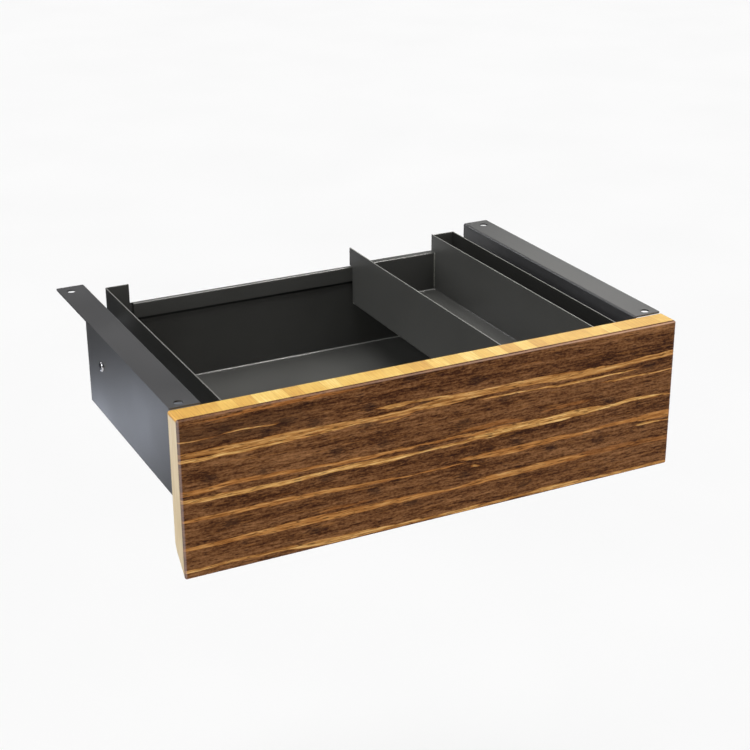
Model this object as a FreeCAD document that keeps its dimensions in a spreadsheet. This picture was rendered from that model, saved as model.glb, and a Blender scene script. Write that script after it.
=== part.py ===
import FreeCAD, Part
import os
import Sketcher

# Under-desk drawer. Two angle brackets screw to the underside of a desk and carry the outer members
# of two ball-bearing slides. A folded sheet-steel box with a bamboo front runs on them, and a pencil
# tray hangs on the front and back rails of the box and slides from side to side.
#
# Millimetres. X runs to the right, Y to the back and Z up. The origin is the centre of the four desk
# screw holes, on the face that meets the desk, so the whole drawer hangs below Z = 0. The drawer is
# closed and the tray is at its right-hand stop.

DIMENSIONS = (
    # wooden front
    ("front_width", 385, "wooden front, side to side"),
    ("front_height", 115, "wooden front, top to bottom"),
    ("front_depth", 18, "wooden front, face to back"),
    ("face_layer", 2, "dark layer on the face of the front"),
    ("edge_round", 1.6, "rounding of the front's edges"),
    ("back_round", 0.7, "rounding of the front's top edge at the back"),
    ("pull_height", 17, "height of the sloped finger pull below the back face"),
    ("pull_round", 14, "rounding between the back face and the finger pull"),
    ("desk_gap", 1.2, "gap between the desk and the top of the front"),
    ("front_setback", 142.8, "hole pattern centre to the face of the front"),
    # brackets
    ("hole_span_x", 364, "desk screw holes, side to side"),
    ("hole_span_y", 236, "desk screw holes, front to back"),
    ("desk_hole", 6.6, "desk screw hole diameter"),
    ("bracket_sheet", 1.2, "bracket sheet thickness"),
    ("bracket_length", 253.2, "bracket, front to back"),
    ("bracket_gap", 0.3, "wooden front to the bracket"),
    ("plate_inner", 168.6, "centre plane to the inner face of the upright plate"),
    ("plate_height", 97.4, "desk to the bottom of the upright plate"),
    ("flange_width", 22.3, "flange, across"),
    ("bracket_bend", 0.5, "inside radius of the bracket bend"),
    ("corner_round", 1.2, "corner rounding of the flange"),
    # slides: sizes across are taken from the inner face of the bracket plate
    ("slide_width", 12.7, "slide, across"),
    ("slide_half", 22.5, "half the height of the outer member"),
    ("slide_steel", 1.2, "slide sheet thickness"),
    ("slide_centre", 54.6, "desk to the middle of the slides"),
    ("slide_setback", 2, "bracket front to the slide"),
    ("outer_length", 250, "outer member, front to back"),
    ("moving_length", 244, "middle and inner members, front to back"),
    ("outer_reach", 10.2, "outer member, across"),
    ("outer_lip", 2.6, "turned lip of the outer member"),
    ("middle_web", 3.4, "plate to the web of the middle member"),
    ("middle_reach", 10.8, "plate to the edge of the middle member"),
    ("middle_half", 17.7, "half the height of the middle member"),
    ("middle_lip", 2.2, "turned lip of the middle member"),
    ("inner_start", 6.2, "plate to the edge of the inner member"),
    ("inner_half", 13.1, "half the height of the inner member"),
    ("slide_round", 1, "bend radius of the slide members"),
    ("cage_sheet", 0.6, "ball cage thickness"),
    ("cage_front", 55, "hole pattern centre to the front end of the cages"),
    ("cage_length", 112, "ball cage, front to back"),
    ("ball_play", 0.2, "gap round a ball"),
    ("outer_ball", 3.2, "outer ball diameter"),
    ("outer_ball_in", 6.2, "plate to the outer balls"),
    ("outer_ball_up", 19.5, "slide middle to the outer balls"),
    ("outer_cage_web", 1.9, "plate to the web of the outer cage"),
    ("outer_cage_reach", 8.4, "plate to the edge of the outer cage"),
    ("inner_ball", 3, "inner ball diameter"),
    ("inner_ball_in", 7.5, "plate to the inner balls"),
    ("inner_ball_up", 14.8, "slide middle to the inner balls"),
    ("inner_cage_web", 5, "plate to the web of the inner cage"),
    ("inner_cage_reach", 9.9, "plate to the edge of the inner cage"),
    ("bumper_length", 5.5, "end bumper, front to back"),
    ("bumper_half", 8, "half the height of the end bumper"),
    ("bumper_reach", 12.4, "plate to the far face of the end bumper"),
    # release levers
    ("pivot_back", 35, "hole pattern centre to the lever pivots"),
    ("lever_start", 8, "plate to the lever"),
    ("lever_sheet", 2.4, "lever thickness"),
    ("lever_hub", 4, "half the height of the lever at its pivot"),
    ("lever_bar", 2.2, "half the height of the lever bar"),
    ("lever_thumb", 3.4, "half the height of the thumb piece"),
    ("lever_reach", 47, "pivot to the thumb piece"),
    ("thumb_length", 10, "thumb piece, front to back"),
    ("pivot_pin", 3, "lever pivot diameter"),
    ("pivot_play", 0.08, "running gap round the pivot, on the radius"),
    # drawer box
    ("box_half", 154.4, "centre plane to the outside of the box"),
    ("box_sheet", 1, "box sheet thickness"),
    ("box_rear", 121.8, "hole pattern centre to the back of the box"),
    ("side_top", 2.9, "desk to the top of the box sides"),
    ("rail_top", 18.4, "desk to the front and back rails"),
    ("floor_top", 89.6, "desk to the floor of the box"),
    ("hem_depth", 3.6, "folded rail, front to back"),
    ("hem_drop", 12.6, "folded rail, top to bottom"),
    ("hem_half", 133.4, "centre plane to the end of a folded rail"),
    ("hem_round", 1.2, "rounding over a folded rail"),
    ("tab_edge", 135.5, "centre plane to the edge of a side return"),
    ("seam_gap", 0.3, "gap at a seam between two sheets"),
    ("box_bend", 1, "inside radius of the floor bends"),
    ("corner_bend", 0.3, "inside radius of the side panel bends"),
    ("side_foot", 12, "bottom return of a side panel, across"),
    ("foot_setback", 1.8, "end of the box to the end of its bottom returns"),
    ("edge_break", 0.3, "softened top edges"),
    ("pad_round", 16, "slide mounting pad diameter"),
    ("pad_recess", 13.4, "recess behind a mounting pad, diameter"),
    ("pad_reach", 95, "hole pattern centre to the mounting pads"),
    # pencil tray
    ("tray_left", 56.6, "centre plane to the left face of the tray"),
    ("tray_right", 135, "centre plane to the right face of the tray"),
    ("tray_floor", 50.4, "desk to the floor of the tray"),
    ("tray_gap", 0.3, "gap between the tray and a rail"),
    ("rest_gap", 0.15, "gap between a tray hook and the rail under it"),
    ("hook_back", 1.4, "tray hook beyond the back of the box"),
    ("hook_front", 0.6, "tray hook to the wooden front"),
    # screws
    ("machine_screw", 4, "machine screw thread diameter"),
    ("bracket_head", 8, "bracket screw head diameter"),
    ("bracket_head_high", 2.2, "bracket screw head height"),
    ("bracket_screw_back", 90.4, "hole pattern centre to the bracket screws"),
    ("low_head", 8, "low screw head diameter"),
    ("low_head_high", 1.4, "low screw head height"),
    ("wood_screw", 3.5, "wood screw thread diameter"),
    ("wood_screw_length", 15, "wood screw, under the head"),
    ("wood_head", 7, "wood screw head diameter"),
    ("wood_head_high", 2.2, "wood screw head height"),
)

BALLS_IN_A_ROW = 8

doc = FreeCAD.newDocument("UnderDeskDrawer")
sheet = doc.addObject("Spreadsheet::Sheet", "Dims")
for row, (alias, size, meaning) in enumerate(DIMENSIONS, start=1):
    sheet.set(f"A{row}", meaning)
    sheet.set(f"B{row}", str(size))
    sheet.setAlias(f"B{row}", alias)
doc.recompute()

# Planes that several pieces share, as expressions of the sheet's cells.
FACE_Y = "(-Dims.front_setback)"
GLUE_Y = "(-Dims.front_setback + Dims.face_layer)"
WOOD_BACK_Y = "(-Dims.front_setback + Dims.front_depth)"
WOOD_TOP = "(-Dims.desk_gap)"
WOOD_BOTTOM = "(-Dims.desk_gap - Dims.front_height)"
BRACKET_FRONT_Y = f"({WOOD_BACK_Y} + Dims.bracket_gap)"
BRACKET_REAR_Y = f"({BRACKET_FRONT_Y} + Dims.bracket_length)"
SLIDE_FRONT_Y = f"({BRACKET_FRONT_Y} + Dims.slide_setback)"
OUTER_REAR_Y = f"({SLIDE_FRONT_Y} + Dims.outer_length)"
MOVING_REAR_Y = f"({SLIDE_FRONT_Y} + Dims.moving_length)"
CAGE_REAR_Y = "(-Dims.cage_front + Dims.cage_length)"
SLIDE_Z = "(-Dims.slide_centre)"
BOX_FLOOR = "(-Dims.floor_top)"
BOX_UNDER = "(-Dims.floor_top - Dims.box_sheet)"
SIDE_UNDER = "(-Dims.floor_top - 2 * Dims.box_sheet)"
SIDE_INSIDE = "(Dims.box_half - Dims.box_sheet)"
RAIL_Z = "(-Dims.rail_top)"


# ---- helpers ---------------------------------------------------------------------------------------


def mm(expression):
    """The value of a sheet expression."""
    return float(sheet.evalExpression(expression))


def from_plate(distance):
    """X of a plane that lies a distance inwards from the bracket plate."""
    return f"(Dims.plate_inner - {distance})"


def from_middle(height, way=1):
    """Z of a plane that lies a height above (way 1) or below (way -1) the middle of the slide."""
    return f"({SLIDE_Z} + {height})" if way > 0 else f"({SLIDE_Z} - {height})"


def origin_plane(body, role):
    """One of the body's own planes or axes."""
    for feature in body.Origin.OriginFeatures:
        if feature.Role == role:
            return feature


def new_body(name, base=None, turn=None):
    """An empty body; base is its place, three expressions, and turn an axis and an angle."""
    body = doc.addObject("PartDesign::Body", name)
    if turn:
        rotation = FreeCAD.Rotation(FreeCAD.Vector(*turn[0]), turn[1])
        body.Placement = FreeCAD.Placement(FreeCAD.Vector(), rotation)
    for axis, expression in zip("xyz", base or ()):
        body.setExpression(f"Placement.Base.{axis}", expression)
    return body


def new_sketch(body, name, plane, offset=None):
    """A sketch on an origin plane of the body, moved along the plane's normal by offset."""
    sketch = body.newObject("Sketcher::SketchObject", name)
    sketch.AttachmentSupport = [(origin_plane(body, plane), "")]
    sketch.MapMode = "FlatFace"
    if offset:
        sketch.setExpression("AttachmentOffset.Base.z", offset)
    return sketch


def pin_point(sketch, geometry, position, across, up):
    """Tie one point of the sketch to two sheet expressions."""
    for kind, expression in (("DistanceX", across), ("DistanceY", up)):
        value = mm(expression)
        index = sketch.addConstraint(Sketcher.Constraint(kind, -1, 1, geometry, position, value))
        sketch.setExpression(f"Constraints[{index}]", expression)


def outline(body, name, plane, corners, offset=None):
    """A closed outline of straight sides through the corners, each a pair of expressions."""
    sketch = new_sketch(body, name, plane, offset)
    points = [FreeCAD.Vector(mm(across), mm(up), 0) for across, up in corners]
    for index, point in enumerate(points):
        sketch.addGeometry(Part.LineSegment(point, points[(index + 1) % len(points)]), False)
    for index in range(len(points)):
        following = (index + 1) % len(points)
        sketch.addConstraint(Sketcher.Constraint("Coincident", index, 2, following, 1))
    for index, (across, up) in enumerate(corners):
        pin_point(sketch, index, 1, across, up)
    return sketch


def circles(body, name, plane, centres, diameter, offset=None):
    """Circles of one diameter at the centres, each a pair of expressions."""
    sketch = new_sketch(body, name, plane, offset)
    for index, (across, up) in enumerate(centres):
        centre = FreeCAD.Vector(mm(across), mm(up), 0)
        sketch.addGeometry(Part.Circle(centre, FreeCAD.Vector(0, 0, 1), mm(diameter) / 2), False)
        pin_point(sketch, index, 3, across, up)
        size = sketch.addConstraint(Sketcher.Constraint("Diameter", index, mm(diameter)))
        sketch.setExpression(f"Constraints[{size}]", diameter)
    return sketch


def pad(body, name, sketch, length, both_ways=False):
    """Grow the body from a sketch, along its normal or the same distance both ways."""
    feature = body.newObject("PartDesign::Pad", name)
    feature.Profile = sketch
    feature.setExpression("Length", length)
    feature.Midplane = both_ways
    doc.recompute()
    return feature


def pocket(body, name, sketch, depth=None, reverse=False):
    """Cut a sketch into the body against its normal: right through, or to a depth."""
    before = body.Tip.Shape.Volume
    feature = body.newObject("PartDesign::Pocket", name)
    feature.Profile = sketch
    feature.Reversed = reverse
    if depth:
        feature.setExpression("Length", depth)
    else:
        feature.Type = "ThroughAll"
    doc.recompute()
    if feature.Shape.Volume > before - 0.01:
        raise RuntimeError(f"{body.Name}: {name} cuts nothing")
    return feature


def along(axis, **where):
    """Picks straight edges parallel to an axis that pass through the given coordinates."""

    def wanted(edge):
        ends = [vertex.Point for vertex in edge.Vertexes]
        if len(ends) < 2 or edge.Curve.TypeId != "Part::GeomLine":
            return False
        travel = ends[1] - ends[0]
        if abs(abs(getattr(travel, axis)) - travel.Length) > 0.001:
            return False
        return all(abs(getattr(ends[0], name) - value) < 0.01 for name, value in where.items())

    return wanted


def level_with(height):
    """Picks every edge that lies in a level plane."""
    return lambda edge: all(abs(vertex.Point.z - height) < 0.01 for vertex in edge.Vertexes)


def round_edges(body, name, radius, *tests):
    """Fillet every edge of the body that one of the tests picks."""
    base = body.Tip
    chosen = []
    for index, edge in enumerate(base.Shape.Edges, start=1):
        if any(test(edge) for test in tests):
            chosen.append(f"Edge{index}")
    if not chosen:
        raise RuntimeError(f"{body.Name}: {name} finds no edge")
    fillet = body.newObject("PartDesign::Fillet", name)
    fillet.Base = (base, chosen)
    fillet.setExpression("Radius", radius)
    doc.recompute()
    return fillet


def mirrored(name, source):
    """The left-hand copy of a right-hand piece."""
    copy = doc.addObject("Part::Mirroring", name)
    copy.Source = source
    copy.Normal = FreeCAD.Vector(1, 0, 0)
    copy.Base = FreeCAD.Vector(0, 0, 0)
    return copy


def group(name, pieces):
    """Several separate solids in one node."""
    compound = doc.addObject("Part::Compound", name)
    compound.Links = pieces
    return compound


# ---- wooden front ----------------------------------------------------------------------------------

# Screws that hold the front, right-hand half: out from the centre plane and down from the desk.
WOOD_SCREWS = (("145", "(-24)"), ("145", "(-80)"), ("70", "(-66)"))


def both_sides(places):
    """The places and their mirror images."""
    return [(f"({way} * {across})", up) for across, up in places for way in (1, -1)]


def front_core():
    """Light core of the front: a slab whose back slopes forward near the bottom, as a finger pull."""
    body = new_body("front_core")
    slope_z = f"({WOOD_BOTTOM} + Dims.pull_height)"
    corners = (
        (GLUE_Y, WOOD_TOP),
        (WOOD_BACK_Y, WOOD_TOP),
        (WOOD_BACK_Y, slope_z),
        (GLUE_Y, WOOD_BOTTOM),
    )
    pad(body, "slab", outline(body, "section", "YZ_Plane", corners), "Dims.front_width", both_ways=True)
    round_edges(body, "pull", "Dims.pull_round", along("x", y=mm(WOOD_BACK_Y), z=mm(slope_z)))
    glue = mm(GLUE_Y)
    half = mm("Dims.front_width / 2")
    top_back = along("x", y=mm(WOOD_BACK_Y), z=mm(WOOD_TOP))

    def side_arris(edge):
        middle = edge.valueAt((edge.FirstParameter + edge.LastParameter) / 2)
        glued = all(abs(vertex.Point.y - glue) < 0.01 for vertex in edge.Vertexes)
        return abs(abs(middle.x) - half) < 0.01 and not glued

    round_edges(body, "arrises", "Dims.edge_round", side_arris)
    round_edges(body, "top_arris", "Dims.back_round", top_back)
    places = both_sides(WOOD_SCREWS)
    pilots = circles(body, "pilots", "XZ_Plane", places, "Dims.wood_screw + 0.1", f"(-{WOOD_BACK_Y})")
    pocket(body, "pilot_holes", pilots, "Dims.wood_screw_length", reverse=True)
    return body


def front_face():
    """Dark face of the front, glued to the core; its outer edges are rounded over."""
    body = new_body("front_face", ("0", GLUE_Y, "0"))
    half = "(Dims.front_width / 2)"
    corners = ((f"(-{half})", WOOD_TOP), (half, WOOD_TOP), (half, WOOD_BOTTOM), (f"(-{half})", WOOD_BOTTOM))
    pad(body, "layer", outline(body, "section", "XZ_Plane", corners), "Dims.face_layer")

    def outside(edge):
        return any(abs(vertex.Point.y) > 0.01 for vertex in edge.Vertexes)

    round_edges(body, "arrises", "Dims.edge_round", outside)
    return body


# ---- brackets --------------------------------------------------------------------------------------


def bracket():
    """Right-hand bracket: an upright plate with a flange turned outwards at the top."""
    body = new_body("bracket_right", ("0", BRACKET_REAR_Y, "0"))
    inner = "Dims.plate_inner"
    outer = "(Dims.plate_inner + Dims.bracket_sheet)"
    tip = "(Dims.plate_inner + Dims.flange_width)"
    under = "(-Dims.bracket_sheet)"
    bottom = "(-Dims.plate_height)"
    corners = ((inner, "0"), (inner, bottom), (outer, bottom), (outer, under), (tip, under), (tip, "0"))
    pad(body, "angle", outline(body, "section", "XZ_Plane", corners), "Dims.bracket_length")
    round_edges(body, "bend_inside", "Dims.bracket_bend", along("y", x=mm(outer), z=mm(under)))
    round_edges(body, "bend_outside", "Dims.bracket_bend + Dims.bracket_sheet", along("y", x=mm(inner), z=0))
    round_edges(body, "corners", "Dims.corner_round", along("z", x=mm(tip)))
    places = [
        ("(Dims.hole_span_x / 2)", f"({end} * Dims.hole_span_y / 2 - {BRACKET_REAR_Y})") for end in (-1, 1)
    ]
    pocket(body, "desk_holes", circles(body, "desk_hole_places", "XY_Plane", places, "Dims.desk_hole"))
    place = [(f"(Dims.bracket_screw_back - {BRACKET_REAR_Y})", SLIDE_Z)]
    hole = circles(body, "screw_place", "YZ_Plane", place, "Dims.machine_screw + 0.4", outer)
    pocket(body, "screw_hole", hole)
    return body


# ---- slides ----------------------------------------------------------------------------------------


def channel(name, rear, length, upper):
    """A long piece whose section is symmetric about the middle of the slide. Upper is the top half of
    the section: how far in from the bracket plate and how far up from the middle."""
    body = new_body(name, ("0", rear, "0"))
    corners = [(from_plate(inwards), from_middle(height)) for inwards, height in upper]
    corners += [(from_plate(inwards), from_middle(height, -1)) for inwards, height in reversed(upper)]
    pad(body, "length", outline(body, "section", "XZ_Plane", corners), length)
    return body


def lipped(web, reach, half, lip):
    """Top half of a C section with turned lips, web towards the bracket."""
    under = f"({half} - Dims.slide_steel)"
    tip = f"({half} - {lip})"
    lip_root = f"({reach} - Dims.slide_steel)"
    return (
        (web, half),
        (reach, half),
        (reach, tip),
        (lip_root, tip),
        (lip_root, under),
        (f"({web} + Dims.slide_steel)", under),
    )


def round_bends(body, web, reach, half):
    """Round the outside of a member's bends."""
    tests = []
    for inwards in (web, reach):
        for way in (1, -1):
            tests.append(along("y", x=mm(from_plate(inwards)), z=mm(from_middle(half, way))))
    round_edges(body, "bends", "Dims.slide_round", *tests)


def outer_member():
    upper = lipped("0", "Dims.outer_reach", "Dims.slide_half", "Dims.outer_lip")
    body = channel("slide_outer_right", OUTER_REAR_Y, "Dims.outer_length", upper)
    round_bends(body, "0", "Dims.outer_reach", "Dims.slide_half")
    place = [(f"(Dims.bracket_screw_back - {OUTER_REAR_Y})", SLIDE_Z)]
    thread = circles(body, "thread_place", "YZ_Plane", place, "Dims.machine_screw + 0.1", "Dims.plate_inner")
    pocket(body, "thread", thread)
    return body


def middle_member():
    upper = lipped("Dims.middle_web", "Dims.middle_reach", "Dims.middle_half", "Dims.middle_lip")
    body = channel("slide_middle_right", MOVING_REAR_Y, "Dims.moving_length", upper)
    round_bends(body, "Dims.middle_web", "Dims.middle_reach", "Dims.middle_half")
    return body


PAD_PLACES = ["(-Dims.pad_reach)", "Dims.pad_reach"]


def inner_member():
    """The member that screws to the box; its flanges point towards the bracket."""
    under = "(Dims.inner_half - Dims.slide_steel)"
    upper = (
        ("Dims.slide_width", "Dims.inner_half"),
        ("Dims.inner_start", "Dims.inner_half"),
        ("Dims.inner_start", under),
        ("(Dims.slide_width - Dims.slide_steel)", under),
    )
    body = channel("slide_inner_right", MOVING_REAR_Y, "Dims.moving_length", upper)
    corner = mm(from_plate("Dims.slide_width"))
    bends = [along("y", x=corner, z=mm(from_middle("Dims.inner_half", way))) for way in (1, -1)]
    round_edges(body, "bends", "Dims.slide_round", *bends)
    outside = from_plate("Dims.inner_start")
    places = [(f"({place} - {MOVING_REAR_Y})", SLIDE_Z) for place in PAD_PLACES]
    threads = circles(body, "thread_places", "YZ_Plane", places, "Dims.machine_screw + 0.1", outside)
    pocket(body, "threads", threads)
    pin = [(f"(-Dims.pivot_back - {MOVING_REAR_Y})", SLIDE_Z)]
    pocket(body, "pin_hole", circles(body, "pin_place", "YZ_Plane", pin, "Dims.pivot_pin + 0.02", outside))
    return body


def cage(name, web, reach, ball_in, ball_up, ball):
    """Ball cage: a thin channel with a row of ball windows in each flange."""
    upper = (
        (web, f"({ball_up} + Dims.cage_sheet / 2)"),
        (reach, f"({ball_up} + Dims.cage_sheet / 2)"),
        (reach, f"({ball_up} - Dims.cage_sheet / 2)"),
        (f"({web} + Dims.cage_sheet)", f"({ball_up} - Dims.cage_sheet / 2)"),
    )
    body = channel(name, CAGE_REAR_Y, "Dims.cage_length", upper)
    places = [(from_plate(ball_in), f"({ball_y(index)} - {CAGE_REAR_Y})") for index in range(BALLS_IN_A_ROW)]
    top = from_middle(f"({ball_up} + 1)")
    windows = circles(body, "window_places", "XY_Plane", places, f"{ball} + 2 * Dims.ball_play", top)
    pocket(body, "windows", windows)
    return body


def ball_y(index):
    """Y of a ball: the rows are centred on their cage."""
    return f"({CAGE_REAR_Y} - Dims.cage_length * {index + 0.5} / {BALLS_IN_A_ROW})"


def balls(name, ball_in, ball_up, diameter):
    """All the balls of one layer, on both sides."""
    pieces = []
    for side in (1, -1):
        for way in (1, -1):
            for index in range(BALLS_IN_A_ROW):
                ball = doc.addObject("Part::Sphere", f"{name}_{len(pieces) + 1}")
                ball.setExpression("Radius", f"{diameter} / 2")
                ball.setExpression("Placement.Base.x", f"{side} * {from_plate(ball_in)}")
                ball.setExpression("Placement.Base.y", ball_y(index))
                ball.setExpression("Placement.Base.z", from_middle(ball_up, way))
                pieces.append(ball)
    return group(name, pieces)


def end_bumper():
    """Rubber stop in the back end of the outer member."""
    body = new_body("end_bumper_right", ("0", OUTER_REAR_Y, "0"))
    near = from_plate("Dims.slide_steel")
    far = from_plate("Dims.bumper_reach")
    corners = [(near, from_middle("Dims.bumper_half")), (far, from_middle("Dims.bumper_half"))]
    corners += [(far, from_middle("Dims.bumper_half", -1)), (near, from_middle("Dims.bumper_half", -1))]
    pad(body, "block", outline(body, "section", "XZ_Plane", corners), "Dims.bumper_length")
    round_edges(body, "corners", "Dims.slide_round", along("y", x=mm(far)))
    return body


# ---- release levers --------------------------------------------------------------------------------


def release_lever():
    """Lever on the inner member: a hub, a slim bar running forward and a thumb piece at its end."""
    body = new_body("release_lever_right", ("0", "(-Dims.pivot_back)", SLIDE_Z))
    hub, bar, thumb = "Dims.lever_hub", "Dims.lever_bar", "Dims.lever_thumb"
    reach = "Dims.lever_reach"
    upper = (
        (hub, hub),
        (f"(-{hub})", hub),
        (f"(-{hub} - {bar})", bar),
        (f"(-{reach} + {bar})", bar),
        (f"(-{reach})", thumb),
        (f"(-{reach} - Dims.thumb_length)", thumb),
    )
    corners = list(upper) + [(forward, f"(-{up})") for forward, up in reversed(upper)]
    near = from_plate("(Dims.lever_start + Dims.lever_sheet)")
    pad(body, "plate", outline(body, "section", "YZ_Plane", corners, near), "Dims.lever_sheet")
    round_edges(body, "hub_end", f"{hub} - 0.1", along("x", y=mm(hub)))
    thumb_end = mm(f"-{reach} - Dims.thumb_length")
    round_edges(body, "thumb_end", "Dims.slide_round", along("x", y=thumb_end))
    hole = "Dims.pivot_pin + 2 * Dims.pivot_play"
    pocket(body, "pivot_hole", circles(body, "pivot_place", "YZ_Plane", [("0", "0")], hole, from_plate("0")))
    return body


def lever_rivet():
    """Shouldered rivet: head, pivot, shoulder and the end set in the inner member."""
    body = new_body("lever_rivet_right", ("Dims.plate_inner", "(-Dims.pivot_back)", SLIDE_Z))
    pin, head = "(Dims.pivot_pin / 2)", "Dims.pivot_pin"
    shoulder = "(Dims.pivot_pin * 0.85)"
    lever_face = "(-Dims.lever_start - Dims.lever_sheet - Dims.pivot_play)"
    head_face = "(-Dims.lever_start + Dims.pivot_play)"
    web = "(-Dims.slide_width + Dims.slide_steel)"
    corners = (
        ("(-Dims.slide_width)", "0"),
        ("(-Dims.slide_width)", pin),
        (web, pin),
        (web, shoulder),
        (lever_face, shoulder),
        (lever_face, pin),
        (head_face, pin),
        (head_face, head),
        (f"({head_face} + 0.7)", head),
        (f"({head_face} + 0.7)", "0"),
    )
    turned = body.newObject("PartDesign::Revolution", "turned")
    turned.Profile = outline(body, "section", "XZ_Plane", corners)
    turned.ReferenceAxis = (origin_plane(body, "X_Axis"), [""])
    doc.recompute()
    return body


# ---- drawer box ------------------------------------------------------------------------------------


def drawer_pan():
    """Floor with the front and back walls; the walls end in folded rails that carry the tray."""
    body = new_body("drawer_pan")
    front_in = f"({WOOD_BACK_Y} + Dims.box_sheet)"
    rear_in = "(Dims.box_rear - Dims.box_sheet)"
    corners = (
        (WOOD_BACK_Y, RAIL_Z),
        (WOOD_BACK_Y, BOX_UNDER),
        ("Dims.box_rear", BOX_UNDER),
        ("Dims.box_rear", RAIL_Z),
        (rear_in, RAIL_Z),
        (rear_in, BOX_FLOOR),
        (front_in, BOX_FLOOR),
        (front_in, RAIL_Z),
    )
    width = "2 * (Dims.tab_edge - Dims.seam_gap)"
    pad(body, "walls", outline(body, "section", "YZ_Plane", corners), width, both_ways=True)
    outer = [along("x", y=mm(wall), z=mm(BOX_UNDER)) for wall in (WOOD_BACK_Y, "Dims.box_rear")]
    inner = [along("x", y=mm(wall), z=mm(BOX_FLOOR)) for wall in (front_in, rear_in)]
    round_edges(body, "bends_outside", "Dims.box_bend + Dims.box_sheet", *outer)
    round_edges(body, "bends_inside", "Dims.box_bend", *inner)
    for end, wall, way in (("front", WOOD_BACK_Y, "+"), ("rear", "Dims.box_rear", "-")):
        inside = f"({wall} {way} Dims.hem_depth)"
        flap = f"({inside} {'-' if way == '+' else '+'} Dims.box_sheet)"
        middle = f"({wall} {way} Dims.box_sheet / 2)"
        skin = f"({wall} {way} Dims.box_sheet)"
        bridge = f"({RAIL_Z} - Dims.box_sheet)"
        drop = f"({RAIL_Z} - Dims.hem_drop)"
        fold = (
            (middle, RAIL_Z),
            (inside, RAIL_Z),
            (inside, drop),
            (flap, drop),
            (flap, bridge),
            (skin, bridge),
            (skin, drop),
            (middle, drop),
        )
        sketch = outline(body, f"{end}_fold", "YZ_Plane", fold)
        pad(body, f"{end}_rail", sketch, "2 * Dims.hem_half", both_ways=True)
        round_edges(body, f"{end}_rail_inside", "Dims.hem_round", along("x", y=mm(inside), z=mm(RAIL_Z)))
        round_edges(body, f"{end}_rail_outside", "Dims.hem_round / 2", along("x", y=mm(wall), z=mm(RAIL_Z)))
    half = f"({SIDE_INSIDE} - 3 * Dims.seam_gap)"
    start = f"({WOOD_BACK_Y} + Dims.foot_setback)"
    stop = "(Dims.box_rear - Dims.foot_setback)"
    wings = ((f"(-{half})", start), (half, start), (half, stop), (f"(-{half})", stop))
    pad(body, "floor", outline(body, "floor_plan", "XY_Plane", wings, BOX_UNDER), "Dims.box_sheet")
    places = both_sides(WOOD_SCREWS[2:])
    holes = circles(body, "screw_places", "XZ_Plane", places, "Dims.wood_screw + 0.4", f"(-{WOOD_BACK_Y})")
    pocket(body, "screw_holes", holes, "3 * Dims.box_sheet")
    return body


def drawer_side():
    """Right-hand side of the box, with returns round both corners and a foot under the floor."""
    body = new_body("drawer_side_right")
    outside, inside = "Dims.box_half", SIDE_INSIDE
    foot_tip = f"({SIDE_INSIDE} - Dims.side_foot)"
    knee = f"({SIDE_UNDER} + 3 * Dims.box_sheet)"
    corners = (
        (outside, knee),
        (outside, SIDE_UNDER),
        (foot_tip, SIDE_UNDER),
        (foot_tip, BOX_UNDER),
        (inside, BOX_UNDER),
        (inside, knee),
    )
    start = "(Dims.box_rear - Dims.foot_setback)"
    foot = outline(body, "foot_section", "XZ_Plane", corners, f"(-{start})")
    pad(body, "foot", foot, f"{start} - {WOOD_BACK_Y} - Dims.foot_setback")
    outer_bend = "Dims.corner_bend + Dims.box_sheet"
    round_edges(body, "foot_bend_outside", outer_bend, along("y", x=mm(outside), z=mm(SIDE_UNDER)))
    round_edges(body, "foot_bend_inside", "Dims.corner_bend", along("y", x=mm(inside), z=mm(BOX_UNDER)))
    front_in = f"({WOOD_BACK_Y} + Dims.box_sheet)"
    rear_in = "(Dims.box_rear - Dims.box_sheet)"
    plan = (
        (outside, WOOD_BACK_Y),
        (outside, "Dims.box_rear"),
        ("Dims.tab_edge", "Dims.box_rear"),
        ("Dims.tab_edge", rear_in),
        (inside, rear_in),
        (inside, front_in),
        ("Dims.tab_edge", front_in),
        ("Dims.tab_edge", WOOD_BACK_Y),
    )
    base = f"({BOX_UNDER} + Dims.corner_bend)"
    panel = outline(body, "panel_plan", "XY_Plane", plan, base)
    pad(body, "panel", panel, f"-Dims.side_top - {base}")
    outer = [along("z", x=mm(outside), y=mm(wall)) for wall in (WOOD_BACK_Y, "Dims.box_rear")]
    inner = [along("z", x=mm(inside), y=mm(wall)) for wall in (front_in, rear_in)]
    round_edges(body, "corner_bends_outside", outer_bend, *outer)
    round_edges(body, "corner_bends_inside", "Dims.corner_bend", *inner)
    round_edges(body, "top_edge", "Dims.edge_break", level_with(mm("-Dims.side_top")))
    places = [(place, SLIDE_Z) for place in PAD_PLACES]
    slide_face = from_plate("Dims.slide_width")
    rise = f"({slide_face} - Dims.box_half)"
    pads = circles(body, "pad_places", "YZ_Plane", places, "Dims.pad_round", outside)
    pad(body, "pads", pads, rise)
    rim = mm(slide_face)

    def pad_rim(edge):
        return edge.Curve.TypeId == "Part::GeomCircle" and all(abs(v.Point.x - rim) < 0.01 for v in edge.Vertexes)

    round_edges(body, "pad_rims", "Dims.edge_break * 2", pad_rim)
    seat = f"({slide_face} - Dims.box_sheet)"
    recess = circles(body, "recess_places", "YZ_Plane", places, "Dims.pad_recess", seat)
    pocket(body, "recesses", recess, rise)
    holes = circles(body, "slide_screw_places", "YZ_Plane", places, "Dims.machine_screw + 0.2", slide_face)
    pocket(body, "slide_screw_holes", holes, "4 * Dims.box_sheet")
    front_holes = [(f"{across}", up) for across, up in WOOD_SCREWS[:2]]
    cut = circles(body, "front_places", "XZ_Plane", front_holes, "Dims.wood_screw + 0.4", f"(-{WOOD_BACK_Y})")
    pocket(body, "front_screw_holes", cut, "3 * Dims.box_sheet")
    return body


# ---- pencil tray -----------------------------------------------------------------------------------


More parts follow.
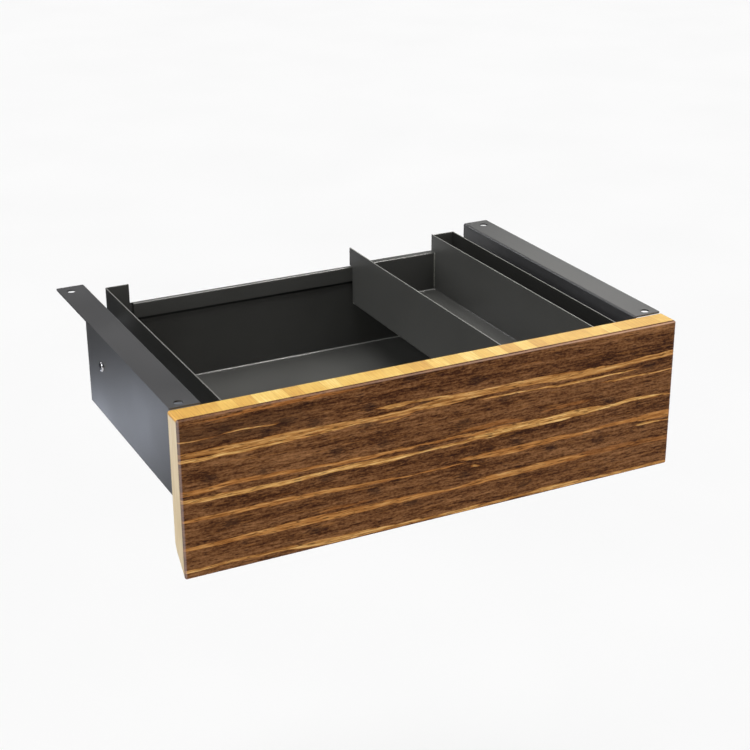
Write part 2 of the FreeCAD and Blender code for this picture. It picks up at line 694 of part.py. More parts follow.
def pencil_tray():
    """Folded tray whose end walls have hooks that rest on the rails at the front and the back."""
    body = new_body("pencil_tray")
    steel = "Dims.box_sheet"
    front = f"({WOOD_BACK_Y} + Dims.hem_depth + Dims.tray_gap)"
    rear = "(Dims.box_rear - Dims.hem_depth - 1.33 * Dims.tray_gap)"
    hook_front = f"({WOOD_BACK_Y} + Dims.hook_front)"
    hook_rear = "(Dims.box_rear + Dims.hook_back)"
    top = "(-Dims.side_top)"
    hook = f"({RAIL_Z} + Dims.rest_gap)"
    lip = f"({hook} + {steel})"
    floor = "(-Dims.tray_floor)"
    under = f"({floor} - {steel})"
    wall = (
        (front, under),
        (rear, under),
        (rear, hook),
        (hook_rear, hook),
        (hook_rear, top),
        (hook_front, top),
        (hook_front, hook),
        (front, hook),
    )
    trough = (
        (hook_front, hook),
        (front, hook),
        (front, under),
        (rear, under),
        (rear, hook),
        (hook_rear, hook),
        (hook_rear, lip),
        (f"({rear} - {steel})", lip),
        (f"({rear} - {steel})", floor),
        (f"({front} + {steel})", floor),
        (f"({front} + {steel})", lip),
        (hook_front, lip),
    )
    left, right = "Dims.tray_left", "Dims.tray_right"
    pad(body, "trough", outline(body, "trough_section", "YZ_Plane", trough, left), f"{right} - {left}")
    pad(body, "left_end", outline(body, "left_wall", "YZ_Plane", wall, left), steel)
    right_in = f"({right} - {steel})"
    pad(body, "right_end", outline(body, "right_wall", "YZ_Plane", wall, right_in), steel)
    left_in = f"({left} + {steel})"
    bottom = mm(under)
    outer = [along("y", x=mm(place), z=bottom) for place in (left, right)]
    outer += [along("x", y=mm(place), z=bottom) for place in (front, rear)]
    round_edges(body, "folds_outside", f"Dims.box_bend + {steel}", *outer)
    inner = [along("y", x=mm(place), z=mm(floor)) for place in (left_in, right_in)]
    inner += [along("x", y=mm(f"{front} + {steel}"), z=mm(floor)), along("x", y=mm(f"{rear} - {steel}"), z=mm(floor))]
    round_edges(body, "folds_inside", "Dims.box_bend", *inner)
    rolls = [along("x", y=mm(f"{front} + {steel}"), z=mm(lip)), along("x", y=mm(f"{rear} - {steel}"), z=mm(lip))]
    round_edges(body, "hook_bends", "Dims.box_bend", *rolls)
    tips = [along("x", y=mm(place), z=mm(top)) for place in (hook_front, hook_rear)]
    round_edges(body, "hook_corners", "Dims.edge_break", *tips)
    round_edges(body, "top_edges", "Dims.edge_break", level_with(mm(top)))
    return body


# ---- screws ----------------------------------------------------------------------------------------


def screw(name, base, turn, thread, length, head, head_high, tip):
    """Cross-slotted screw: the head rises along the body's Z from the seat, the thread goes down."""
    body = new_body(name, base, turn)
    corners = (
        ("0", f"(-{length})"),
        (f"({thread} * 0.1)", f"(-{length})"),
        (f"({thread} / 2)", f"(-{length} + {tip})"),
        (f"({thread} / 2)", "0"),
        (f"({head} / 2)", "0"),
        (f"({head} / 2)", head_high),
        ("0", head_high),
    )
    turned = body.newObject("PartDesign::Revolution", "turned")
    turned.Profile = outline(body, "section", "XZ_Plane", corners)
    turned.ReferenceAxis = (origin_plane(body, "Z_Axis"), [""])
    doc.recompute()
    rim = level_with(mm(head_high))
    round_edges(body, "dome", f"{head_high} * 0.65", rim)
    arm, slot = f"({head} * 0.27)", f"({head} * 0.07)"
    for index, (wide, high) in enumerate(((arm, slot), (slot, arm))):
        cross = ((f"(-{wide})", f"(-{high})"), (wide, f"(-{high})"), (wide, high), (f"(-{wide})", high))
        sketch = outline(body, f"slot_{index}", "XY_Plane", cross, head_high)
        pocket(body, f"slot_cut_{index}", sketch, f"{head_high} * 0.6")
    return body


def bracket_screws():
    """One screw through each bracket plate into the outer member."""
    seat = "(Dims.plate_inner + Dims.bracket_sheet)"
    right = screw(
        "bracket_screw",
        (seat, "Dims.bracket_screw_back", SLIDE_Z),
        ((0, 1, 0), 90),
        "Dims.machine_screw",
        "(Dims.bracket_sheet + 2 * Dims.slide_steel)",
        "Dims.bracket_head",
        "Dims.bracket_head_high",
        "0.4",
    )
    return group("bracket_screws", [right, mirrored("bracket_screw_left", right)])


def slide_screws():
    """Low-headed screws from inside the box, through its mounting pads, into the inner members."""
    pieces = []
    seat = f"({from_plate('Dims.slide_width')} - Dims.box_sheet)"
    for end, place in zip(("front", "rear"), PAD_PLACES):
        right = screw(
            f"slide_screw_{end}",
            (seat, place, SLIDE_Z),
            ((0, 1, 0), -90),
            "Dims.machine_screw",
            "(Dims.box_sheet + 1.5 * Dims.slide_steel)",
            "Dims.low_head",
            "Dims.low_head_high",
            "0.4",
        )
        pieces += [right, mirrored(f"slide_screw_{end}_left", right)]
    return group("slide_screws", pieces)


def front_screws():
    """Wood screws from inside the box into the core of the front."""
    pieces = []
    for index, (across, up) in enumerate(WOOD_SCREWS, start=1):
        right = screw(
            f"front_screw_{index}",
            (across, f"({WOOD_BACK_Y} + Dims.box_sheet)", up),
            ((1, 0, 0), -90),
            "Dims.wood_screw",
            "Dims.wood_screw_length",
            "Dims.wood_head",
            "Dims.wood_head_high",
            "3",
        )
        pieces += [right, mirrored(f"front_screw_{index}_left", right)]
    return group("front_screws", pieces)


# ---- the pieces ------------------------------------------------------------------------------------

OUTER_BALL = ("Dims.outer_ball_in", "Dims.outer_ball_up", "Dims.outer_ball")
INNER_BALL = ("Dims.inner_ball_in", "Dims.inner_ball_up", "Dims.inner_ball")

right_hand = (
    bracket(),
    outer_member(),
    cage("outer_cage_right", "Dims.outer_cage_web", "Dims.outer_cage_reach", *OUTER_BALL),
    middle_member(),
    cage("inner_cage_right", "Dims.inner_cage_web", "Dims.inner_cage_reach", *INNER_BALL),
    inner_member(),
    release_lever(),
    drawer_side(),
)
bumper = end_bumper()
rivet = lever_rivet()

pieces = [front_core(), front_face(), drawer_pan(), pencil_tray()]
for piece in right_hand:
    pieces += [piece, mirrored(piece.Name.replace("_right", "_left"), piece)]
pieces.append(balls("outer_balls", *OUTER_BALL))
pieces.append(balls("inner_balls", *INNER_BALL))
pieces.append(group("end_bumpers", [bumper, mirrored("end_bumper_left", bumper)]))
pieces.append(group("lever_rivets", [rivet, mirrored("lever_rivet_left", rivet)]))
pieces += [bracket_screws(), slide_screws(), front_screws()]
doc.recompute()

for item in doc.Objects:
    if "Invalid" in item.State or "Error" in item.State:
        raise RuntimeError(f"{item.Name} is {item.State}")
    if hasattr(item, "Shape") and item.TypeId != "Sketcher::SketchObject":
        if item.isDerivedFrom("Part::Feature") and not item.Shape.isNull() and not item.Shape.isValid():
            raise RuntimeError(f"{item.Name} has a broken shape")

os.makedirs("parts", exist_ok=True)
for piece in pieces:
    piece.Label = piece.Name
    if piece.Shape.isNull() or not piece.Shape.Solids:
        raise RuntimeError(f"{piece.Name} has no solid")
    piece.Shape.exportStep(f"parts/{piece.Name}.step")
    box = piece.Shape.BoundBox
    print(
        f"{piece.Name:22s} solids {len(piece.Shape.Solids):3d}",
        f"X {box.XMin:8.2f} {box.XMax:8.2f}  Y {box.YMin:8.2f} {box.YMax:8.2f}",
        f"Z {box.ZMin:8.2f} {box.ZMax:8.2f}",
    )
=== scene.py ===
import math

import bpy
from mathutils import Matrix, Vector

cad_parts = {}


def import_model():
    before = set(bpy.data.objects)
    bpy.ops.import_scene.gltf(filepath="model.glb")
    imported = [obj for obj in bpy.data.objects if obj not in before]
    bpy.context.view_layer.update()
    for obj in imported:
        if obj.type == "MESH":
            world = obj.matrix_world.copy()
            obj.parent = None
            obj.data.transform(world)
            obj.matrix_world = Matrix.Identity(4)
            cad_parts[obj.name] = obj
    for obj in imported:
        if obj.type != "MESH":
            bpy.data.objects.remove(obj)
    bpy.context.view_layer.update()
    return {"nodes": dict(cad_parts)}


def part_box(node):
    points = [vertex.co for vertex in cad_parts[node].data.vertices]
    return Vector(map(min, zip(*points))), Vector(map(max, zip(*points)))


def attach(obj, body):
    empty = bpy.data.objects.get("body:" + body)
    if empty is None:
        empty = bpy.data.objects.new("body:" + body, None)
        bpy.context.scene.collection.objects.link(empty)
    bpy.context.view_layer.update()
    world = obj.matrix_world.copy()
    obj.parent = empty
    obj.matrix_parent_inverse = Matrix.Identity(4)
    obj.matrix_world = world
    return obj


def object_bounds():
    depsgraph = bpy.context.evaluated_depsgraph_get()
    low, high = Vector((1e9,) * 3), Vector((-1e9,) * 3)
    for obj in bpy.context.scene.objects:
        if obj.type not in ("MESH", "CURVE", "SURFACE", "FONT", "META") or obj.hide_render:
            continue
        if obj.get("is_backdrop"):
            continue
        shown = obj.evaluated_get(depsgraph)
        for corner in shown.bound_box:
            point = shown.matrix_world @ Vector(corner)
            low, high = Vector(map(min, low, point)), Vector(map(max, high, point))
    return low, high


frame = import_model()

# Under-desk drawer. The CAD nodes carry the shapes. This script gives each of them a material, adds the
# weld bead in the tray's corner, and builds the floor, the lights and the camera. Lengths are in metres
# unless a name or a comment says mm. The coats' colours are sRGB out of 255, and the lights' are linear.

MM = 0.001
SHEET = 1.0 * MM
TRAY_HOOK = 5.4 * MM


# ---- node helpers ----------------------------------------------------------------------------------


class Shader:
    """A material's node tree, built one node at a time."""

    def __init__(self, name):
        self.material = bpy.data.materials.new(name)
        self.material.use_nodes = True
        self.tree = self.material.node_tree
        self.tree.nodes.clear()
        self.output = self.add("ShaderNodeOutputMaterial")
        self.surface = self.add("ShaderNodeBsdfPrincipled")
        self.link(self.surface.outputs["BSDF"], self.output.inputs["Surface"])
        coordinates = self.add("ShaderNodeTexCoord")
        self.position = coordinates.outputs["Object"]
        split = self.add("ShaderNodeSeparateXYZ")
        self.link(self.position, split.inputs[0])
        self.x, self.y, self.z = split.outputs[0], split.outputs[1], split.outputs[2]

    def add(self, kind, **settings):
        node = self.tree.nodes.new(kind)
        for key, value in settings.items():
            setattr(node, key, value)
        return node

    def link(self, source, target):
        self.tree.links.new(source, target)

    def feed(self, socket, value):
        """Set a socket to a number or a colour, or link it to another socket."""
        if isinstance(value, bpy.types.NodeSocket):
            self.link(value, socket)
        else:
            socket.default_value = value

    def math(self, operation, first, second=0.0, third=0.0):
        node = self.add("ShaderNodeMath", operation=operation)
        for socket, value in zip(node.inputs, (first, second, third)):
            self.feed(socket, value)
        return node.outputs[0]

    def product(self, first, *others):
        """Masks and numbers multiplied together."""
        for other in others:
            first = self.math("MULTIPLY", first, other)
        return first

    def weigh(self, first, *others):
        """The sum of patterns, each given with its weight."""
        total = self.math("MULTIPLY", *first)
        for pattern, weight in others:
            total = self.math("MULTIPLY_ADD", pattern, weight, total)
        return total

    def scaled(self, scale, shift=(0.0, 0.0, 0.0)):
        """The surface point, stretched per axis: scale is in cycles per metre."""
        node = self.add("ShaderNodeMapping", vector_type="POINT")
        self.link(self.position, node.inputs["Vector"])
        node.inputs["Scale"].default_value = scale
        node.inputs["Location"].default_value = shift
        return node.outputs[0]

    def noise(self, scale, shift=(0.0, 0.0, 0.0), detail=2.0, rough=0.5, warp=0.0):
        """Noise from 0 to 1 whose grain is stretched by scale."""
        node = self.add("ShaderNodeTexNoise", noise_dimensions="3D")
        self.link(self.scaled(scale, shift), node.inputs["Vector"])
        node.inputs["Scale"].default_value = 1.0
        node.inputs["Detail"].default_value = detail
        node.inputs["Roughness"].default_value = rough
        node.inputs["Distortion"].default_value = warp
        return node.outputs[0]

    def wave(self, along, cycles, seed):
        """Smooth noise along one coordinate, from about -1 to 1."""
        node = self.add("ShaderNodeTexNoise", noise_dimensions="1D")
        self.link(self.math("MULTIPLY_ADD", along, cycles, seed), node.inputs["W"])
        node.inputs["Scale"].default_value = 1.0
        node.inputs["Detail"].default_value = 1.0
        return self.math("MULTIPLY_ADD", node.outputs[0], 4.0, -2.0)

    def cells(self, place, dimensions, feature, randomness):
        """Scattered cells along a line (1D) or over a plane (2D)."""
        node = self.add("ShaderNodeTexVoronoi", voronoi_dimensions=dimensions, feature=feature)
        self.link(place, node.inputs["W" if dimensions == "1D" else "Vector"])
        node.inputs["Scale"].default_value = 1.0
        node.inputs["Randomness"].default_value = randomness
        return node.outputs

    def red(self, colour):
        """A colour's red channel, used as a random number per cell."""
        node = self.add("ShaderNodeSeparateColor")
        self.link(colour, node.inputs[0])
        return node.outputs[0]

    def between(self, value, low, high, out_low=0.0, out_high=1.0):
        """Remap a value smoothly from one range to another, clamped."""
        node = self.add("ShaderNodeMapRange", clamp=True)
        node.interpolation_type = "SMOOTHSTEP"
        for name, number in (
            ("Value", value),
            ("From Min", low),
            ("From Max", high),
            ("To Min", out_low),
            ("To Max", out_high),
        ):
            self.feed(node.inputs[name], number)
        return node.outputs[0]

    def ramp(self, value, *stops):
        """Colours along a value: each stop is a place from 0 to 1 and a colour."""
        node = self.add("ShaderNodeValToRGB")
        elements = node.color_ramp.elements
        while len(elements) < len(stops):
            elements.new(0.5)
        for element, (place, colour) in zip(elements, stops):
            element.position = place
            element.color = linear(colour)
        self.feed(node.inputs[0], value)
        return node.outputs[0]

    def curve(self, value, points):
        """A smooth curve through points whose places and heights run from 0 to 1."""
        node = self.add("ShaderNodeFloatCurve")
        self.feed(node.inputs["Value"], value)
        line = node.mapping.curves[0]
        while len(line.points) < len(points):
            line.points.new(0.5, 0.5)
        for point, place in zip(line.points, points):
            point.location = place
            point.handle_type = "AUTO_CLAMPED"
        node.mapping.extend = "HORIZONTAL"
        node.mapping.update()
        return node.outputs[0]

    def mix(self, amount, first, second):
        """Blend from one colour to another."""
        node = self.add("ShaderNodeMix", data_type="RGBA", blend_type="MIX", clamp_factor=True)
        self.feed(node.inputs[0], amount)
        self.feed(node.inputs[6], first)
        self.feed(node.inputs[7], second)
        return node.outputs[2]

    def bump(self, height, depth, strength, under=None):
        """Tilt the surface by a height from 0 to 1 that is depth metres tall."""
        node = self.add("ShaderNodeBump")
        node.inputs["Strength"].default_value = strength
        node.inputs["Distance"].default_value = depth
        self.feed(node.inputs["Height"], height)
        if under is not None:
            self.link(under, node.inputs["Normal"])
        return node.outputs[0]

    def finish(self, **values):
        """Set the main shader's sockets; names use underscores for spaces."""
        for name, value in values.items():
            self.feed(self.surface.inputs[name.replace("_", " ")], value)
        return self.material


def linear(colour):
    """An sRGB colour out of 255 as a linear colour."""
    channels = []
    for value in colour:
        part = value / 255
        channels.append(part / 12.92 if part <= 0.04045 else ((part + 0.055) / 1.055) ** 2.4)
    return (*channels, 1.0)


# ---- powder coat -----------------------------------------------------------------------------------

HEM_FOOT = -31.0 * MM  # the height of the hem's lower edge
HEM_SHADOW = 3.0 * MM  # how far below the hem the painted shade still reaches
WALL_REACH = 4.0 * MM  # from the back wall's outside to past its hem
BEND_REACH = 3.0 * MM  # from a back wall's outside to past its bend
# how strong the painted highlight along a bend is
BEND_HIGHLIGHT = 0.75


def painted_hem_shade(shader):
    """Painted shade in the gap under the hem on the inside of the box's back wall."""
    reach = shader.between(shader.z, HEM_FOOT - HEM_SHADOW, HEM_FOOT - 0.7 * HEM_SHADOW)
    clear = shader.between(shader.z, HEM_FOOT + 0.1 * MM, HEM_FOOT + 0.3 * MM, 1.0, 0.0)
    inside = shader.math("GREATER_THAN", shader.y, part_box("drawer_pan")[1][1] - WALL_REACH)
    return shader.product(reach, clear, inside)


def painted_bend_highlight(shader, node, wall):
    """The painted highlight where the node's floor bends up into its back wall, whose outside is at the
    depth wall.
    """
    floor_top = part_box(node)[0][2] + SHEET
    foot = shader.between(shader.z, floor_top + 0.02 * MM, floor_top + 0.1 * MM)
    head = shader.between(shader.z, floor_top + 0.6 * MM, floor_top + 1.0 * MM, 1.0, 0.0)
    behind = shader.math("GREATER_THAN", shader.y, wall - BEND_REACH)
    return shader.product(foot, head, behind, BEND_HIGHLIGHT)


def powder_coat(name, grey=75, warmth=2.5, shade_under_hem=False, cut_edge=None, bend=None):
    """Charcoal powder coat on folded sheet: fine orange peel, faint cloudiness and a little dust.

    The coat is thin on a cut edge, whose height is given; a pale highlight is painted along it and along a
    bend, which is given as its node and the depth of the wall's outside. Painted shade can lie under the
    hem.
    """
    shader = Shader(name)
    peel = shader.noise((1500, 1500, 1500), detail=2.0, rough=0.45)
    cloud = shader.noise((14, 14, 14), detail=3.0)
    dust = shader.noise((2600, 2600, 2600), shift=(3, 1, 7), detail=0.0)
    dark, pale = grey - 3, grey + 3
    colour = shader.ramp(cloud, (0.3, (dark, dark, dark - warmth)), (0.7, (pale, pale, pale - warmth)))
    colour = shader.mix(shader.between(dust, 0.68, 0.8, 0.0, 0.25), colour, linear((104, 104, 103)))
    if shade_under_hem:
        # Paint near-black shade under the hem.
        colour = shader.mix(painted_hem_shade(shader), colour, linear((6, 6, 6)))
    if cut_edge is not None:
        # The coat is thin on the top cut edge, and the pale line there is a painted highlight.
        thin = shader.between(shader.z, cut_edge - 0.3 * MM, cut_edge - 0.1 * MM, 0.0, 0.6)
        colour = shader.mix(thin, colour, linear((142, 142, 136)))
    # Paint a pale highlight along the bend.
    if bend is not None:
        colour = shader.mix(painted_bend_highlight(shader, *bend), colour, linear((178, 178, 174)))
    return shader.finish(
        Base_Color=colour,
        Roughness=shader.between(cloud, 0.25, 0.75, 0.33, 0.39),
        Normal=shader.bump(peel, 0.03 * MM, 0.5),
        Specular_IOR_Level=0.5,
    )


def bead_coat():
    """The weld bead shows paler than the coat around it."""
    shader = Shader("bead_coat")
    ripple = shader.noise((300, 300, 900), detail=2.0)
    return shader.finish(
        Base_Color=shader.ramp(ripple, (0.3, (118, 118, 112)), (0.7, (150, 150, 142))),
        Roughness=shader.between(ripple, 0.3, 0.7, 0.34, 0.44),
        Normal=shader.bump(ripple, 0.05 * MM, 0.4),
    )


# ---- dark strand bamboo ----------------------------------------------------------------------------

FACE_WIDTH, FACE_HEIGHT = 385.0, 115.0  # mm
HIDDEN = -1.4  # mm, the half thickness of a strand that has died out
CURVE_REACH, CURVE_MARGIN = 10.0, 2.0  # mm, the span of half thicknesses in a curve, and how much is below 0
FADE = 6.0  # mm, over which a strand starts or ends
WANDER_CYCLES, WANDER = 0.05, 0.35  # cycles per mm, and mm to each side
SEED_START, SEED_STEP = 3.1, 7.3  # where in the noise each strand's wander begins

# A strand is its strength, then points along it: across, down and thickness in mm. A thickness of 0 is
# where it dies out.
STRANDS = (
    (0.60, (0, 3.8, 0.6), (30, 3.7, 1.2), (62, 2.4, 3.2), (90, 2.3, 3.2), (115, 2.8, 1.6), (160, 1.6, 0)),
    (0.95, (0, 15.6, 1.5), (15, 16.3, 0.8), (35, 15.2, 1.0), (60, 15.4, 0.9), (82, 15.6, 0)),
    (
        0.82,
        *((0, 25.6, 3), (30, 25.8, 5), (65, 26.4, 5.6), (110, 26.4, 4.4), (150, 27.2, 3.8)),
        *((178, 26.2, 4.6), (197, 25, 7), (222, 24.6, 5.2), (255, 24.4, 4.6), (285, 25.4, 5.6)),
        *((315, 26.9, 5.4), (345, 25.9, 3.8), (385, 24.4, 4.2)),
    ),
    (1.00, (0, 29.6, 2.6), (30, 30, 2.6), (60, 29.8, 2.2), (95, 29.4, 0.9), (118, 28.4, 1.6), (135, 28, 0)),
    (
        0.90,
        *((128, 20.3, 0), (145, 20.6, 1.4), (156, 21.1, 3.2), (172, 20.8, 1.8)),
        *((196, 22.4, 2.4), (205, 23, 0)),
    ),
    (0.90, (138, 31, 0), (150, 31.2, 1.1), (163, 30.2, 0.8), (172, 29.6, 0)),
    (
        1.00,
        *((208, 29.2, 0), (228, 29.9, 1.2), (262, 30.7, 1.5), (298, 32.2, 1.9)),
        *((335, 32.1, 1.3), (376, 31.3, 0)),
    ),
    (0.85, (312, 36.6, 0), (335, 37.1, 2), (358, 37.2, 1.2), (385, 37.6, 0.8)),
    (
        0.76,
        *((0, 52.6, 4.2), (14, 52.6, 3.2), (34, 51.1, 3.2), (60, 51.8, 3.2), (100, 53.8, 2.1)),
        *((122, 54.6, 2.8), (180, 54.6, 1.7), (225, 54.9, 2.6), (250, 55.6, 3.4), (270, 56, 0)),
    ),
    (
        1.00,
        *((0, 57.9, 3.2), (40, 59.3, 3.5), (80, 59.7, 3.3), (120, 58.8, 3.9), (150, 60, 4.2)),
        *((172, 59.6, 2), (200, 59.5, 2.1), (240, 57.2, 5.6), (285, 57.1, 6), (310, 56.2, 5.6)),
        *((330, 56.9, 2.8), (348, 55.5, 3), (385, 57.5, 1.4)),
    ),
    (
        0.78,
        *((0, 72.4, 2.3), (40, 72.8, 3), (88, 73.1, 3.5), (125, 74.4, 2.7)),
        *((165, 75.8, 1.4), (200, 75.9, 1), (225, 75, 0)),
    ),
    (
        0.76,
        *((196, 72.2, 0), (222, 73.4, 4), (250, 74.2, 4.9), (280, 73.5, 4), (315, 73.2, 2.8)),
        *((335, 72.2, 2.8), (362, 72.4, 4.8), (385, 72.8, 6.2)),
    ),
    (1.00, (350, 76.6, 0), (362, 77.4, 2.3), (373, 77.6, 1.6), (378, 78, 0.8), (385, 78.3, 1)),
    (1.00, (212, 78.9, 0), (218, 79.9, 1.5), (224, 81.2, 0)),
    (
        0.78,
        *((0, 93, 2.4), (45, 92.8, 3.8), (80, 92.6, 5.1), (130, 93, 4.2), (165, 93.1, 3.8)),
        *((200, 94.2, 1.9), (225, 92.8, 4.2), (262, 92.2, 4.8), (300, 91.6, 3), (325, 91.6, 0)),
    ),
    (0.32, (240, 92, 0), (300, 91.6, 4.6), (345, 91.6, 4), (385, 92.6, 3.4)),
    (
        0.87,
        *((0, 109.4, 2.3), (35, 108.9, 2.3), (65, 109.5, 2), (100, 111.4, 4.6), (140, 111.9, 3.8)),
        *((175, 112.6, 2), (215, 112.7, 3), (245, 112.8, 2), (285, 111.8, 4.2), (320, 112.8, 2.6)),
        *((385, 113.2, 2.8),),
    ),
    (0.34, (85, 88.5, 0), (118, 87.6, 2.2), (150, 87, 0)),
    (0.36, (190, 52.2, 0), (235, 50.6, 3.6), (262, 52, 0)),
    (0.34, (262, 50, 0), (298, 48.4, 2.8), (325, 49.4, 0)),
    (0.30, (60, 69, 0), (72, 68.4, 1.4), (88, 69.2, 0)),
)


def strand_mask(shader, across, down, fray, strand, seed):
    """How much of one golden strand lies at a point of the face; across and down are in mm."""
    strength, points = strand[0], strand[1:]
    place = shader.math("DIVIDE", across, FACE_WIDTH)
    levels, halves = [], []
    for at, level, thickness in points:
        half = thickness / 2 if thickness else HIDDEN
        levels.append((at / FACE_WIDTH, level / FACE_HEIGHT))
        halves.append((at / FACE_WIDTH, (half + CURVE_MARGIN) / CURVE_REACH))
    wander = shader.product(shader.wave(across, WANDER_CYCLES, seed), WANDER)
    middle = shader.math("MULTIPLY_ADD", shader.curve(place, levels), FACE_HEIGHT, wander)
    reach = shader.math("MULTIPLY_ADD", shader.curve(place, halves), CURVE_REACH, -CURVE_MARGIN)
    offset = shader.math("ABSOLUTE", shader.math("SUBTRACT", middle, down))
    edge = shader.math("SUBTRACT", reach, offset)
    body = shader.between(shader.math("ADD", edge, fray), -0.2, 0.45)
    first, last = points[0][0], points[-1][0]
    if first > 0:
        body = shader.product(body, shader.between(across, first, first + FADE))
    if last < FACE_WIDTH:
        body = shader.product(body, shader.between(across, last - FADE, last, 1.0, 0.0))
    return shader.product(body, strength)


def all_strands(shader, across, down):
    """How much of any golden strand lies at a point, with frayed edges."""
    fray = shader.noise((45, 200, 1000), shift=(1, 6, 3), detail=3.0)
    fray = shader.math("MULTIPLY_ADD", fray, 1.8, -0.9)
    amount = None
    for index, strand in enumerate(STRANDS):
        mask = strand_mask(shader, across, down, fray, strand, SEED_START + SEED_STEP * index)
        amount = mask if amount is None else shader.math("MAXIMUM", amount, mask)
    return amount


def gold_colour(shader, fibre, amount):
    """Pale gold in the strong strands and amber in the weak ones."""
    streak = shader.noise((26, 300, 900), shift=(5, 5, 8), detail=3.0, rough=0.65)
    tone = shader.weigh((fibre, 0.4), (streak, 0.6))
    gold = shader.ramp(
        tone,
        (0.36, (112, 72, 30)),
        (0.45, (148, 103, 52)),
        (0.53, (186, 141, 80)),
        (0.64, (218, 181, 120)),
    )
    amber = shader.ramp(tone, (0.38, (112, 64, 24)), (0.5, (158, 98, 44)), (0.62, (186, 128, 66)))
    return shader.mix(shader.between(amount, 0.66, 0.92), amber, gold)


def brown_tone(shader, fibre):
    """How pale the dark fibres are, from fine fibres to broad drifts."""
    mottle = shader.noise((380, 400, 760), shift=(6, 3, 1), detail=2.0, rough=0.6)
    bundle = shader.noise((14, 200, 230), shift=(4, 0, 2), detail=3.0, rough=0.6, warp=0.2)
    drift = shader.noise((7, 60, 60), shift=(9, 0, 5), detail=2.0)
    return shader.weigh((fibre, 0.44), (bundle, 0.30), (mottle, 0.28), (drift, 0.16))


def brown_colour(shader, tone):
    """Dark fibres with a few thin light threads."""
    brown = shader.ramp(
        tone,
        (0.45, (30, 10, 0)),
        (0.53, (60, 31, 9)),
        (0.59, (92, 58, 30)),
        (0.69, (120, 82, 50)),
        (0.78, (146, 103, 62)),
    )
    threads = shader.noise((38, 300, 800), shift=(7, 2, 9), detail=2.0)
    return shader.mix(shader.between(threads, 0.60, 0.70, 0.0, 0.45), brown, linear((134, 88, 42)))


def knots(shader, across, down, gold_amount):
    """Ragged dark spots in half of the cells, weaker on the golden strands."""
    flat = shader.add("ShaderNodeCombineXYZ")
    shader.feed(flat.inputs[0], shader.product(across, 0.027))
    shader.feed(flat.inputs[1], shader.product(down, 0.052))
    cells = shader.cells(flat.outputs[0], "2D", "F1", 1.0)
    rag = shader.noise((300, 300, 900), detail=4.0, rough=0.7)
    ragged = shader.math("MULTIPLY_ADD", rag, 0.66, cells["Distance"])
    spot = shader.between(ragged, 0.36, 0.56, 0.62, 0.0)
    chosen = shader.math("GREATER_THAN", shader.red(cells["Color"]), 0.5)
    return shader.product(spot, chosen, shader.between(gold_amount, 0.3, 0.8, 1.0, 0.25))


def dark_corner(shader, across, down, gold_amount):
    """A darker patch near the face's upper left corner."""
    upper = shader.between(down, 4, 8)
    lower = shader.between(down, 18, 24, 1.0, 0.0)
    beside = shader.between(gold_amount, 0.2, 0.6, 1.0, 0.2)
    return shader.product(shader.between(across, 50, 130, 0.42, 0.0), upper, lower, beside)


def painted_top_highlight(shader, low, high):
    """The painted highlight along the face's top rounding, stronger toward the right."""
    under = shader.between(shader.z, high[2] - 1.5 * MM, high[2] - 0.9 * MM)
    over = shader.between(shader.z, high[2] - 0.45 * MM, high[2] - 0.25 * MM, 1.0, 0.0)
    return shader.product(under, over, shader.between(shader.x, low[0], high[0], 0.10, 0.55))


def strand_bamboo():
    """Dark strand-woven bamboo: long horizontal fibres, golden strands, knots, pits, and painted highlights
    on the side and top edges.
    """
    shader = Shader("strand_bamboo")
    low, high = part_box("front_face")
    across = shader.product(shader.math("SUBTRACT", shader.x, low[0]), 1000.0)
    down = shader.product(shader.math("SUBTRACT", high[2], shader.z), 1000.0)
    fibre = shader.noise((70, 400, 640), detail=4.0, rough=0.68, warp=0.1)
    pores = shader.noise((150, 800, 1300), shift=(2, 2, 2), detail=2.0)
    tone = brown_tone(shader, fibre)
    gold_amount = all_strands(shader, across, down)
    gold = gold_colour(shader, fibre, gold_amount)
    colour = shader.mix(gold_amount, brown_colour(shader, tone), gold)
    side = shader.math("ABSOLUTE", shader.x)
    layers = (
        (knots(shader, across, down, gold_amount), (28, 13, 8)),
        (dark_corner(shader, across, down, gold_amount), (36, 20, 8)),
        (shader.between(pores, 0.31, 0.44, 0.7, 0.0), (25, 7, 4)),
        # Painted highlight on the face's side roundings.
        (shader.between(side, high[0] - 1.7 * MM, high[0] - 0.7 * MM, 0.0, 0.42), (150, 136, 134)),
        # Painted highlight along the face's top rounding.
        (painted_top_highlight(shader, low, high), (206, 168, 142)),
        (shader.between(shader.z, high[2] - 0.3 * MM, high[2] - 0.15 * MM, 0.0, 0.6), (70, 34, 14)),
    )
    for amount, shade in layers:
        colour = shader.mix(amount, colour, linear(shade))
    grain = shader.bump(fibre, 0.05 * MM, 0.5)
    return shader.finish(
        Base_Color=colour,
        Roughness=shader.between(tone, 0.45, 0.75, 0.42, 0.34),
        Normal=shader.bump(pores, 0.03 * MM, 0.4, grain),
        Specular_IOR_Level=0.07,
    )


# ---- light bamboo ----------------------------------------------------------------------------------

STRIPS_PER_METRE = 85.0
STRIP_START = 13.4  # in strips, which picks the order of shades
STRIP_UNEVENNESS = 0.75


def pale_ends(shader):
    """The core's sawn left and right ends, short of its top."""
    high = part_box("front_core")[1]
    aside = shader.between(shader.math("ABSOLUTE", shader.x), high[0] - 2.2 * MM, high[0] - 1.0 * MM)
    return shader.product(aside, shader.between(shader.z, high[2] - 2.4 * MM, high[2] - 1.2 * MM, 1.0, 0.0))


